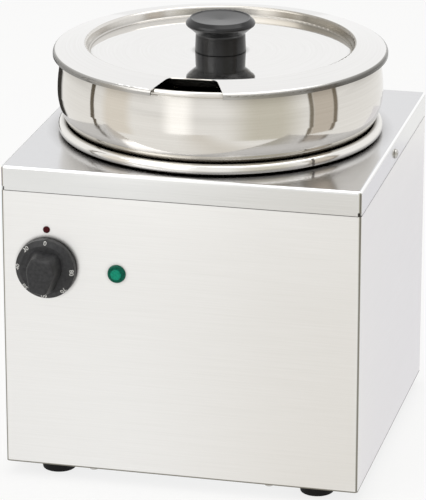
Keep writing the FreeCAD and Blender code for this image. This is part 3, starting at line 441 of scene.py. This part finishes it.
def brushed_sheet(name, streaks_mm, light, dark, rough, crease_mm,
                  top_tint="#FFFFFF", cut_z=-1.0, lip_z=1.0):
    """streaks_mm is the size of a streak along X, Y and Z. Level faces are multiplied by the top
    colour, as painted shade.
    """
    material, tree = new_material(name)
    place = add_node(tree, "ShaderNodeTexCoord").outputs["Object"]
    stretched = add_node(tree, "ShaderNodeMapping", {
        "Vector": place, "Scale": [1 / (length * MM) for length in streaks_mm]})
    streak = add_node(tree, "ShaderNodeTexNoise", {
        "Vector": stretched.outputs[0], "Scale": 1.0,
        "Detail": STREAK_DETAIL, "Roughness": STREAK_GRIT}).outputs["Fac"]
    cloud = add_node(tree, "ShaderNodeTexNoise", {"Vector": place, "Scale": 1 / (SMUDGE * MM)})
    both = add_node(tree, "ShaderNodeMath", {
        0: streak, 1: cloud.outputs["Fac"]}, operation="MULTIPLY")
    gloss = add_node(tree, "ShaderNodeMapRange", {
        "Value": both.outputs[0], "From Max": DULLEST, "To Min": rough[0], "To Max": rough[1]})
    bump = add_node(tree, "ShaderNodeBump", {
        "Height": streak, "Distance": STREAK_DEPTH * MM, "Strength": 1.0})
    normal = add_node(tree, "ShaderNodeNewGeometry").outputs["Normal"]
    way = add_node(tree, "ShaderNodeSeparateXYZ", {0: normal})
    height = add_node(tree, "ShaderNodeSeparateXYZ", {0: place}).outputs["Z"]
    level = add_node(tree, "ShaderNodeMapRange", {
        "Value": way.outputs["Z"], "From Min": LEVEL_FROM, "From Max": LEVEL_FULL})
    steel = add_node(tree, "ShaderNodeMix", {0: streak, 6: dark, 7: light}, data_type="RGBA")
    tinted = add_node(tree, "ShaderNodeMix", {
        0: level.outputs[0], 6: steel.outputs[2], 7: top_tint},
        data_type="RGBA", blend_type="MULTIPLY")
    colour = sheet_marks(tree, tinted.outputs[2], way, height, cut_z, lip_z)
    shader = add_node(tree, "ShaderNodeBsdfPrincipled", {
        "Base Color": darker_in_creases(tree, colour, "#7A7773", crease_mm), "Metallic": 1.0,
        "Roughness": gloss.outputs[0], "Normal": bump.outputs[0]})
    add_node(tree, "ShaderNodeOutputMaterial", {"Surface": shader.outputs[0]})
    return material


# The walls: a satin near-white, in which the room is only a soft change of tone.
wall_sheet = brushed_sheet(
    "brushed_stainless_wall", (STREAK_LENGTH, STREAK_LENGTH, STREAK_PITCH),
    "#F5F4F2", "#EBEAE7", (0.26, 0.4), crease_mm=3,
    cut_z=wrap_low.z, lip_z=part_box("top_cover")[0].z)
# The cover: a finer brush, clear enough to show the bead and the pot upside down. Its level top
# is painted a shade cooler and darker than its sides.
cover_sheet = brushed_sheet(
    "brushed_stainless_cover", (STREAK_LENGTH, STREAK_PITCH, STREAK_PITCH),
    "#E9E9E7", "#DFDFDD", (0.12, 0.2), crease_mm=10, top_tint="#F1F1F5")
print("sheets:", wall_sheet.name, cover_sheet.name)

# %% [markdown]
# ## Spun steel
# The lid's middle was pressed down before it was polished, and a polishing wheel does not reach
# everywhere. The rolled rim stays dull, and is painted darker, with a painted reflection that is
# darker on the sides than in front. The step down to the middle stays dull too, and its painted
# reflection is darker where it faces left. Both are found by their distance from the axis.

# %% Rolled rim and pressed step
RIM_FRONT, RIM_SIDE = 0.3, 0.95
STEP_TURN = 0.5


def rim_and_step(tree, radius, colour, edge_mm, step_mm):
    """The colour with both painted reflections in it, and the share of dull steel that is painted
    darker, at a place.
    """
    rolled = add_node(tree, "ShaderNodeMapRange", {
        "Value": radius, "From Min": edge_mm * MM, "From Max": (edge_mm + EDGE_FADE) * MM})
    middle, half = sum(step_mm) / 2, (step_mm[1] - step_mm[0]) / 2
    aside = add_node(tree, "ShaderNodeMath", {0: radius, 1: middle * MM}, operation="SUBTRACT")
    off = add_node(tree, "ShaderNodeMath", {0: aside.outputs[0]}, operation="ABSOLUTE")
    step = add_node(tree, "ShaderNodeMapRange", {
        "Value": off.outputs[0], "From Min": half * MM, "From Max": (half + EDGE_FADE) * MM,
        "To Min": float(half > 0), "To Max": 0.0})
    normal = add_node(tree, "ShaderNodeNewGeometry").outputs["Normal"]
    across = add_node(tree, "ShaderNodeSeparateXYZ", {0: normal}).outputs["X"]
    sideways = add_node(tree, "ShaderNodeMath", {0: across}, operation="ABSOLUTE")
    side = add_node(tree, "ShaderNodeMapRange", {
        "Value": sideways.outputs[0], "From Min": RIM_FRONT, "From Max": RIM_SIDE})
    rightward = add_node(tree, "ShaderNodeMapRange", {
        "Value": across, "From Min": -STEP_TURN, "From Max": STEP_TURN})
    # Painted reflection: the step is darker where it faces left, and the rolled rim darker on the
    # sides than in front.
    for share, turn, first, last in ((step, rightward, "#948E83", "#DDDAD5"),
                                     (rolled, side, "#B2B0AC", "#5C5A56")):
        mark = add_node(tree, "ShaderNodeMix", {0: turn.outputs[0], 6: first, 7: last},
                        data_type="RGBA")
        colour = add_node(tree, "ShaderNodeMix", {
            0: share.outputs[0], 6: colour, 7: mark.outputs[2]}, data_type="RGBA").outputs[2]
    dull = add_node(tree, "ShaderNodeMath", {
        0: rolled.outputs[0], 1: step.outputs[0]}, operation="MAXIMUM")
    return colour, dull.outputs[0]


print("marks fade over", EDGE_FADE, "mm")

# %% [markdown]
# The pot, the lid and the well were spun on a lathe and polished as they turned. What is left
# of the polishing runs round the axis, so a highlight on them is sharp sideways and smeared
# along the profile. That is anisotropic gloss, with the tangent turned about Z. The rings come
# from noise on the radius, the height and the angle, again drawn coarser than the real ones,
# and a long ripple bends the reflections a little, as the wall of a spun pot is never quite even.

# %% Spun steel
RING_PITCH, RING_TURNS, RING_DEPTH, RING_DETAIL = 1.1, 1.5, 0.002, 2.0
RIPPLE, RIPPLE_DEPTH = 45, 0.12
QUARTER_TURN = 0.25
DULL_ROUGH = 0.22
NOWHERE = 1000


def spun_steel(name, light, dark, rough, smear, crease_mm, crease,
               edge_mm=NOWHERE, step_mm=(0, 0)):
    """Beyond the radius edge_mm the steel is as it was rolled, and between step_mm as pressed: dull,
    and with a painted reflection.
    """
    material, tree = new_material(name)
    place = add_node(tree, "ShaderNodeTexCoord").outputs["Object"]
    flat = add_node(tree, "ShaderNodeVectorMath", {0: place, 1: (1, 1, 0)}, operation="MULTIPLY")
    radius = add_node(tree, "ShaderNodeVectorMath", {
        0: flat.outputs[0]}, operation="LENGTH").outputs["Value"]
    axes = add_node(tree, "ShaderNodeSeparateXYZ", {0: place})
    angle = add_node(tree, "ShaderNodeMath", {
        0: axes.outputs["Y"], 1: axes.outputs["X"]}, operation="ARCTAN2")
    turned = add_node(tree, "ShaderNodeCombineXYZ", {
        0: radius, 1: axes.outputs["Z"], 2: angle.outputs[0]})
    pitch = 1 / (RING_PITCH * MM)
    ringed = add_node(tree, "ShaderNodeVectorMath", {
        0: turned.outputs[0], 1: (pitch, pitch, RING_TURNS)}, operation="MULTIPLY")
    ring = add_node(tree, "ShaderNodeTexNoise", {
        "Vector": ringed.outputs[0], "Scale": 1.0, "Detail": RING_DETAIL}).outputs["Fac"]
    ripple = add_node(tree, "ShaderNodeTexNoise", {"Vector": place, "Scale": 1 / (RIPPLE * MM)})
    steel = add_node(tree, "ShaderNodeMix", {0: ring, 6: dark, 7: light}, data_type="RGBA")
    colour, dull = rim_and_step(tree, radius, steel.outputs[2], edge_mm, step_mm)
    polished = add_node(tree, "ShaderNodeMapRange", {
        "Value": ring, "To Min": rough[0], "To Max": rough[1]})
    gloss = add_node(tree, "ShaderNodeMix", {0: dull, 2: polished.outputs[0], 3: DULL_ROUGH})
    rings = add_node(tree, "ShaderNodeBump", {
        "Height": ring, "Distance": RING_DEPTH * MM, "Strength": 1.0})
    waves = add_node(tree, "ShaderNodeBump", {
        "Height": ripple.outputs["Fac"], "Distance": RIPPLE_DEPTH * MM, "Strength": 1.0,
        "Normal": rings.outputs[0]})
    tangent = add_node(tree, "ShaderNodeTangent", direction_type="RADIAL", axis="Z")
    shader = add_node(tree, "ShaderNodeBsdfPrincipled", {
        "Base Color": darker_in_creases(tree, colour, crease, crease_mm), "Metallic": 1.0,
        "Roughness": gloss.outputs[0], "Anisotropic": smear, "Anisotropic Rotation": QUARTER_TURN,
        "Normal": waves.outputs[0], "Tangent": tangent.outputs[0]})
    add_node(tree, "ShaderNodeOutputMaterial", {"Surface": shader.outputs[0]})
    return material


print("rings every", RING_PITCH, "mm")

# %% [markdown]
# The pot keeps most of the smear of its polishing, and its warm tone comes from heat. The lid
# is buffed nearly to a mirror. The well is the dullest of the three, and only its bead shows
# until the pot is lifted out. The lid's marks are measured inwards from its outer edge.

# %% Pot, lid and well
ROLLED, STEP_OUTSIDE, STEP_INSIDE = 1.9, 24.2, 28.4

lid_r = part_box("lid")[1].x / MM
# The pot: a warm mirror, whose bands are smeared from top to bottom.
pot_steel = spun_steel("spun_polished_pot", "#E6E3DD", "#D9D5CE", (0.05, 0.1), smear=0.85,
                       crease_mm=12, crease="#8A857C")
# The lid: a clean, cool mirror with crisp edges.
lid_steel = spun_steel("spun_polished_lid", "#F2F1F0", "#E8E7E5", (0.03, 0.06), smear=0.3,
                       crease_mm=4, crease="#322E29", edge_mm=lid_r - ROLLED,
                       step_mm=(lid_r - STEP_INSIDE, lid_r - STEP_OUTSIDE))
# The well: a softer shine, in which the pot's reflection blurs.
well_steel = spun_steel("spun_polished_well", "#F2F0EC", "#E6E3DD", (0.12, 0.2), smear=0.6,
                        crease_mm=6, crease="#322E29")
print("lid radius", round(lid_r, 1), "mm")

# %% [markdown]
# ## The lamp's lens
# The lens is clear green acrylic. Light from the lamp behind it fills the raised middle, and
# the rim, which has only the panel behind it, stays darker. So its colour depends on the
# distance from the lamp's axis, and a fine cell pattern stands in for the prisms moulded inside.

# %% Lamp lens
LENS_MIDDLE, LENS_RIM, PRISM = 3.6, 4.6, 1.3
LENS_ROUGH, LENS_SHINE, LENS_GLOW = 0.15, 0.1, 0.08


def lens_acrylic():
    material, tree = new_material("green_acrylic_lens")
    low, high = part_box("lamp_lens")
    place = add_node(tree, "ShaderNodeTexCoord").outputs["Object"]
    offset = add_node(tree, "ShaderNodeVectorMath", {
        0: place, 1: (low + high) / 2}, operation="SUBTRACT")
    flat = add_node(tree, "ShaderNodeVectorMath", {
        0: offset.outputs[0], 1: (1, 0, 1)}, operation="MULTIPLY")
    radius = add_node(tree, "ShaderNodeVectorMath", {0: flat.outputs[0]}, operation="LENGTH")
    outer = add_node(tree, "ShaderNodeMapRange", {
        "Value": radius.outputs["Value"], "From Min": LENS_MIDDLE * MM, "From Max": LENS_RIM * MM})
    cells = add_node(tree, "ShaderNodeTexVoronoi", {
        "Vector": place, "Scale": 1 / (PRISM * MM)}).outputs["Distance"]
    middle = add_node(tree, "ShaderNodeMix", {0: cells, 6: "#1A9C7E", 7: "#0C7A60"},
                      data_type="RGBA")
    rim = add_node(tree, "ShaderNodeMix", {0: cells, 6: "#0A6650", 7: "#064638"},
                   data_type="RGBA")
    colour = add_node(tree, "ShaderNodeMix", {
        0: outer.outputs[0], 6: middle.outputs[2], 7: rim.outputs[2]}, data_type="RGBA").outputs[2]
    shader = add_node(tree, "ShaderNodeBsdfPrincipled", {
        "Base Color": colour, "Roughness": LENS_ROUGH, "Specular IOR Level": LENS_SHINE,
        "Emission Color": colour, "Emission Strength": LENS_GLOW})
    add_node(tree, "ShaderNodeOutputMaterial", {"Surface": shader.outputs[0]})
    return material


# Moulded acrylic: a deep, clear green that is brighter where the lamp is behind it.
green_acrylic = lens_acrylic()
print("lens middle", 2 * LENS_MIDDLE, "mm across")

# %% [markdown]
# ## Dressing the parts
# Every part of the frame now gets its finish, those inside the housing as well, because the parts
# may be reused one by one. A table from finish to parts is easier to check than many lines of
# code: the number printed has to be the number of parts.

# %% Dress the parts
DRESS = {
    wall_sheet: ["housing_wrap", "rear_panel"],
    cover_sheet: ["top_cover"],
    pot_steel: ["pot"],
    lid_steel: ["lid"],
    well_steel: ["water_well"],
    black_phenolic: ["lid_knob"],
    worn_phenolic: ["thermostat_dial"],
    foot_rubber: [name for name in nodes if name.startswith(("foot_front", "foot_rear"))],
    green_acrylic: ["lamp_lens"],
    red_acrylic: ["index_pip"],
    zinc_sheet: ["base_plate", "bulb_clips", "lamp_clip", "heater_clamp"],
    bright_screw: ["lid_knob_washer", "lid_knob_screw", "thermostat_screws", "heater_stud",
                   "heater_nut", "cover_screws", "rear_screws", "base_screws", "foot_screws",
                   "foot_nuts"],
    rolled_aluminium: ["heater_plate"],
    element_sheath: ["heater_element"],
    drawn_copper: ["capillary_sensor"],
    turned_brass: ["thermostat_shaft", "earth_screw"],
    glazed_steatite: ["thermostat_body", "safety_cutout"],
    grey_nylon: ["lamp_barrel", "cable_gland", "gland_locknut", "terminal_block"],
}
for material, names in DRESS.items():
    for name in names:
        nodes[name].data.materials.clear()
        nodes[name].data.materials.append(material)
print("dressed", sum(map(len, DRESS.values())), "of", len(nodes))

# %% [markdown]
# ## Numbers on the dial
# The dial's numbers are printed on its sloping rim, each with its top outward. They count up
# against the clock, so that turning the dial clockwise brings the next one under the red pip.
# Text is typed as a curve, turned into a mesh and laid on the slope.

# %% Dial numbers
DIAL_NUMBERS = ("0", "30", "40", "50", "60", "70", "80")
FIRST_AT, STEP = math.radians(2), math.radians(-45)
NUMBER_HEIGHT, INK = 3.3 * MM, 0.06 * MM
CAPITAL_SHARE = 0.7
RIM_R, RIM_DEPTH, RIM_SLOPE = 20.5 * MM, 5.93 * MM, math.radians(29.4)

dial_low, dial_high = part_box("thermostat_dial")
dial_axis = Vector((
    (dial_low.x + dial_high.x) / 2, dial_high.y, (dial_low.z + dial_high.z) / 2))


def number_mesh(text):
    """A thin solid in the XY plane, with its middle at the origin."""
    curve = bpy.data.curves.new(f"type_{text}", "FONT")
    curve.body = text
    curve.align_x, curve.align_y = "CENTER", "CENTER"
    curve.size = NUMBER_HEIGHT / CAPITAL_SHARE
    curve.extrude = INK
    holder = bpy.data.objects.new(f"type_{text}", curve)
    scene.collection.objects.link(holder)
    bpy.context.view_layer.update()
    solid = holder.evaluated_get(bpy.context.evaluated_depsgraph_get())
    mesh = bpy.data.meshes.new_from_object(solid)
    bpy.data.objects.remove(holder)
    return mesh


# The text's own up is made radial, then leaned back with the slope of the rim.
lift = Matrix.Translation((0, RIM_R, RIM_DEPTH)) @ Matrix.Rotation(-RIM_SLOPE, 4, "X")
stand = Matrix.Translation(dial_axis) @ Matrix.Rotation(math.pi / 2, 4, "X")
for i, text in enumerate(DIAL_NUMBERS):
    mesh = number_mesh(text)
    mesh.name = f"dial_number_{text}"
    mesh.materials.clear()
    mesh.materials.append(white_ink)
    made = bpy.data.objects.new(f"dial_number_{text}", mesh)
    made.matrix_world = stand @ Matrix.Rotation(-(FIRST_AT + STEP * i), 4, "Z") @ lift
    scene.collection.objects.link(made)
    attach(made, "dial")
print("numbers:", len(DIAL_NUMBERS))

# %% [markdown]
# ## Screws
# The solids have plain pan heads, in the right places. Each head here gets a cross recess.
# First the places and axes are read from the solids. A node holds several screws, so its mesh
# is split into loose pieces, and the wide end of each piece is its head.

# %% Where the screws are
WELD_REACH = 0.001 * MM
HEAD_SHARE, UNDERSIDE_SHARE = 0.9, 0.8
BELOW_HEAD = 0.1 * MM


def loose_pieces(node):
    """The points of each separate solid in a node, always in the same order."""
    work = bmesh.new()
    work.from_mesh(nodes[node].data)
    bmesh.ops.remove_doubles(work, verts=work.verts, dist=WELD_REACH)
    left = dict.fromkeys(work.verts)
    found = []
    while left:
        reached, edge = [], [left.popitem()[0]]
        while edge:
            vert = edge.pop()
            reached.append(vert)
            for link in vert.link_edges:
                other = link.other_vert(vert)
                if other in left:
                    del left[other]
                    edge.append(other)
        found.append([nodes[node].matrix_world @ v.co for v in reached])
    work.free()
    return found


def seat_of(points):
    """The middle of a screw's point, its direction towards the head, and its sizes."""
    low = Vector([min(p[k] for p in points) for k in range(3)])
    high = Vector([max(p[k] for p in points) for k in range(3)])
    middle, span = (low + high) / 2, high - low
    along = max(range(3), key=lambda k: span[k])
    length = span[along]
    axis = Vector([float(k == along) for k in range(3)])
    spread = [(p - middle - axis * (p - middle).dot(axis)).length for p in points]
    head_r = max(spread)
    wide = [p for p, r in zip(points, spread) if r > HEAD_SHARE * head_r]
    if sum((p - middle).dot(axis) for p in wide) < 0:
        axis = -axis
    heights = [(p - middle).dot(axis) + length / 2 for p in points]
    under = min(z for z, r in zip(heights, spread) if r > UNDERSIDE_SHARE * head_r)
    shank_r = max(r for z, r in zip(heights, spread) if z < under - BELOW_HEAD)
    return middle - axis * length / 2, axis, head_r, under, length, shank_r


print("a rear screw is", round(seat_of(loose_pieces("rear_screws")[0])[4] / MM, 1), "mm long")

# %% [markdown]
# A screw is one surface of revolution, drawn ring by ring from the middle of its head to its
# point. The recess pushes the rings of the head down where the two arms of a cross run, deepest
# in the middle, which is cheaper and cleaner than cutting a cross out of the head.

# %% A screw with a cross recess
AROUND = 72
HEAD_RINGS = 16
RIM_SHARE, ROUNDNESS = 0.3, 3
ARM_HALF, ARM_REACH, ARM_DEPTH, ARM_SIDE = 0.45 * MM, 1.9 * MM, 1.1 * MM, 0.15 * MM
ARM_RISE = 0.4
POINT_LENGTH, POINT_SHARE = 0.8 * MM, 0.3


def recess_depth(x, y):
    """How far the cross cuts in at a place on the head."""
    deepest = 0.0
    for a, b in ((abs(x), abs(y)), (abs(y), abs(x))):
        inside = min((ARM_HALF - a) / ARM_SIDE, (ARM_REACH - b) / ARM_SIDE, 1.0)
        deepest = max(deepest, inside * ARM_DEPTH * (1 - ARM_RISE * b / ARM_REACH))
    return deepest


def screw_profile(head_r, under, top, shank_r):
    """(radius, height) pairs over the domed head, and then down the shank to the point."""
    dome = []
    for i in range(1, HEAD_RINGS + 1):
        r = head_r * i / HEAD_RINGS
        crown = math.sqrt(max(0.0, 1 - (r / head_r) ** ROUNDNESS))
        dome.append((r, under + (top - under) * (RIM_SHARE + (1 - RIM_SHARE) * crown)))
    return dome, [(head_r, under), (shank_r, under), (shank_r, POINT_LENGTH),
                  (shank_r * POINT_SHARE, 0)]


def add_screw(build, points, turn):
    foot, axis, head_r, under, top, shank_r = seat_of(points)
    dome, rest = screw_profile(head_r, under, top, shank_r)
    upright = axis.to_track_quat("Z", "Y").to_matrix().to_4x4()
    place = Matrix.Translation(foot) @ upright @ Matrix.Rotation(turn, 4, "Z")
    rings = []
    for number, (r, z) in enumerate(dome + rest):
        ring = []
        for j in range(AROUND):
            x, y = (r * f(2 * math.pi * j / AROUND) for f in (math.cos, math.sin))
            cut = recess_depth(x, y) if number < len(dome) else 0.0
            ring.append(build.verts.new(place @ Vector((x, y, z - cut))))
        rings.append(ring)
    crown = build.verts.new(place @ Vector((0, 0, top - ARM_DEPTH)))
    tip = build.verts.new(place @ Vector((0, 0, 0)))
    for j in range(AROUND):
        k = (j + 1) % AROUND
        build.faces.new((crown, rings[0][j], rings[0][k]))
        build.faces.new((tip, rings[-1][k], rings[-1][j]))
        for inner, outer in zip(rings, rings[1:]):
            build.faces.new((inner[j], outer[j], outer[k], inner[k]))


print("recess", round(ARM_DEPTH / MM, 1), "mm deep")

# %% [markdown]
# Nobody lines up the recesses of screws, so each one is turned by another angle. The detailed
# screws replace those of the frame, one mesh for each node, and ride on the housing.

# %% Screws in their places
FIRST_TURN, NEXT_TURN = 0.5, 1.3


def add_piece(name, build, material, body):
    mesh = bpy.data.meshes.new(name)
    bmesh.ops.recalc_face_normals(build, faces=build.faces)
    build.to_mesh(mesh)
    build.free()
    mesh.shade_smooth()
    mesh.materials.append(material)
    made = bpy.data.objects.new(name, mesh)
    scene.collection.objects.link(made)
    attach(made, body)
    return made


for node in ("cover_screws", "rear_screws", "base_screws"):
    build = bmesh.new()
    found = loose_pieces(node)
    for number, points in enumerate(found):
        add_screw(build, points, FIRST_TURN + NEXT_TURN * number)
    made = add_piece(f"{node}_with_recess", build, bright_screw, "housing")
    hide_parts(node)
    print(node, len(found))

# %% [markdown]
# ## The weld on the bead
# The ring of the bead was closed with a weld, which was ground down and left a small scar at
# the front right. It is a patch that follows the round of the bead and stands a hair proud.
# Its edges dip below the bead, its outline wanders, and two waves give it the lumps of a weld.

# %% Weld scar
SCAR_AZIMUTH = math.radians(47)
SCAR_HALF = 1.2 * MM
SCAR_FROM, SCAR_TO = math.radians(-30), math.radians(50)
SCAR_PROUD, SCAR_SUNK = 0.3 * MM, 0.05 * MM
SCAR_COLUMNS, SCAR_ROWS = 10, 28
LUMP_SHARE, EDGE_DROP = 0.25, 4
LUMP_WAVES, CROSS_WAVES = (9, 14), (-3, 11)
WANDER, WANDER_WAVES = 0.25, 7
BEAD_R = 4.3 * MM


def lumps(across, along):
    """How high the ground weld stands at a place on the patch, up to 1."""
    wave = math.sin(LUMP_WAVES[0] * across + LUMP_WAVES[1] * along)
    wave *= math.cos(CROSS_WAVES[0] * across + CROSS_WAVES[1] * along)
    edges = (1 - across ** EDGE_DROP) * (1 - along ** EDGE_DROP)
    return (1 - LUMP_SHARE + LUMP_SHARE * wave) * edges


well_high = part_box("water_well")[1]
ring_r, ring_z = well_high.x - BEAD_R, well_high.z - BEAD_R
build = bmesh.new()
grid = []
for i in range(SCAR_ROWS + 1):
    tilt = SCAR_FROM + (SCAR_TO - SCAR_FROM) * i / SCAR_ROWS
    along = 2 * i / SCAR_ROWS - 1
    wander = WANDER * SCAR_HALF * math.sin(WANDER_WAVES * along)
    row = []
    for j in range(SCAR_COLUMNS + 1):
        across = 2 * j / SCAR_COLUMNS - 1
        out = BEAD_R + SCAR_PROUD * lumps(across, along) - SCAR_SUNK
        reach = ring_r + out * math.cos(tilt)
        way = facing(SCAR_AZIMUTH + (across * SCAR_HALF + wander) / ring_r, 0)
        row.append(build.verts.new((
            way.x * reach, way.y * reach, ring_z + out * math.sin(tilt))))
    grid.append(row)
for upper, lower in zip(grid, grid[1:]):
    for j in range(SCAR_COLUMNS):
        build.faces.new((upper[j], upper[j + 1], lower[j + 1], lower[j]))
add_piece("bead_weld_scar", build, ground_weld, "housing")
print("weld scar at", round(math.degrees(SCAR_AZIMUTH)), "degrees")
